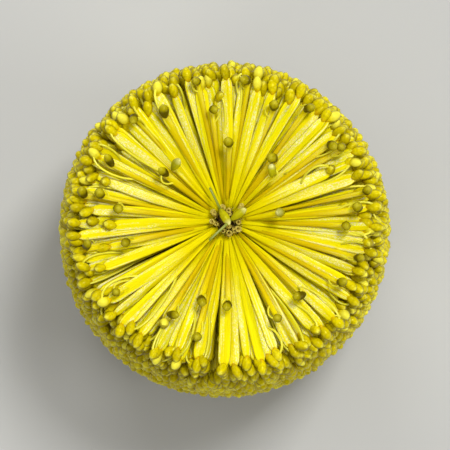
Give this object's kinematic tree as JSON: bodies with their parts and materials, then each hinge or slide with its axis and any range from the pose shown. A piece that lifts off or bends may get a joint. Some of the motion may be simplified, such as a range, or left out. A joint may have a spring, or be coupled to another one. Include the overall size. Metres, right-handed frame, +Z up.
{
  "type": "banksia flower",
  "caption": "Cylindrical banksia flower head cut under its lowest florets, with tubular florets ending in swollen limbs, looped styles, dry crown bracts and a woody stub.",
  "frame": {"origin": "centre of the woody cut that the flower head stands on", "axes": "+Z up along the axis of the flower head, from the cut to the crown; +X and +Y are square to it"},
  "size_m": [0.0615, 0.0617, 0.0886],
  "materials": {
    "petal": "satin",
    "limb": "satin",
    "style": "satin",
    "bract": "matte",
    "bud": "satin",
    "wood": "matte"
  },
  "bodies": {
    "root": {"flower_head": "petal", "crown_bracts": "bract", "tip_florets": "bud", "stem_stub": "wood"}
  },
  "joints": []
}
